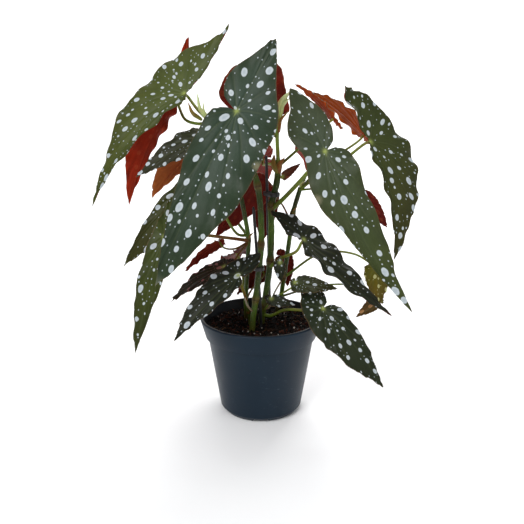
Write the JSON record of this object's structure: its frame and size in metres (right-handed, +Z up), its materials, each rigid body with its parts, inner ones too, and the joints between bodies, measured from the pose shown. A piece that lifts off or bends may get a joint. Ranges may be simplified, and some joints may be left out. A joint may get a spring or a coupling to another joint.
{
  "type": "potted polka dot begonia",
  "caption": "Polka dot begonia with white-spotted angel-wing leaves, red beneath, on tied canes in a dark nursery pot.",
  "frame": {"origin": "centre of the pot's underside, on the ground", "axes": "+Z up along the pot's axis, -Y towards the front of the plant, +X to its right"},
  "size_m": [0.3066, 0.243, 0.3689],
  "materials": {
    "pot_plastic": "satin blue-grey moulded plastic",
    "potting_soil": "loose dark potting soil, matte",
    "green_stem": "smooth green cane, slightly glossy",
    "brown_stem": "brown leaf stem, satin",
    "black_plastic": "black moulded plastic",
    "leaf_green": "dark green blade with white spots, satin",
    "leaf_red": "deep red underside turned to the front, satin"
  },
  "bodies": {
    "root": {"pot": "pot_plastic", "soil": "potting_soil", "cane_right": "green_stem", "cane_front": "green_stem", "cane_left": "green_stem", "cane_rear": "green_stem", "stem_low_left": "brown_stem", "stick_rear": "black_plastic", "stick_front": "black_plastic", "tie_upper": "black_plastic", "tie_lower": "black_plastic", "leaf_front_left": "leaf_green", "leaf_front_right": "leaf_green", "leaf_high_left": "leaf_green", "leaf_high_left_rear": "leaf_red", "leaf_far_right": "leaf_green", "leaf_high_right": "leaf_red", "leaf_high_right_rear": "leaf_red", "leaf_crown_rear": "leaf_red", "leaf_mid_left_upper": "leaf_green", "leaf_mid_left_lower": "leaf_red", "leaf_left_upper": "leaf_green", "leaf_left_lower": "leaf_green", "leaf_inner_right": "leaf_green", "leaf_small_right": "leaf_green", "leaf_small_right_low": "leaf_red", "leaf_low_right": "leaf_green", "leaf_low_centre": "leaf_green", "leaf_lowest": "leaf_green", "leaf_low_left": "leaf_green", "leaf_inner_left": "leaf_green", "leaf_inner_left_upper": "leaf_red", "leaf_centre_hanging": "leaf_green", "leaf_rear_centre": "leaf_red", "leaf_rear_low": "leaf_red", "leaf_rear_right": "leaf_red", "leaf_rear_rim": "leaf_red", "leaf_right_shaded": "leaf_red", "leaf_newest": "leaf_red", "leaf_back_left": "leaf_green", "leaf_back_centre": "leaf_green", "leaf_back_right": "leaf_green", "leaf_back_low_left": "leaf_green"}
  },
  "joints": []
}
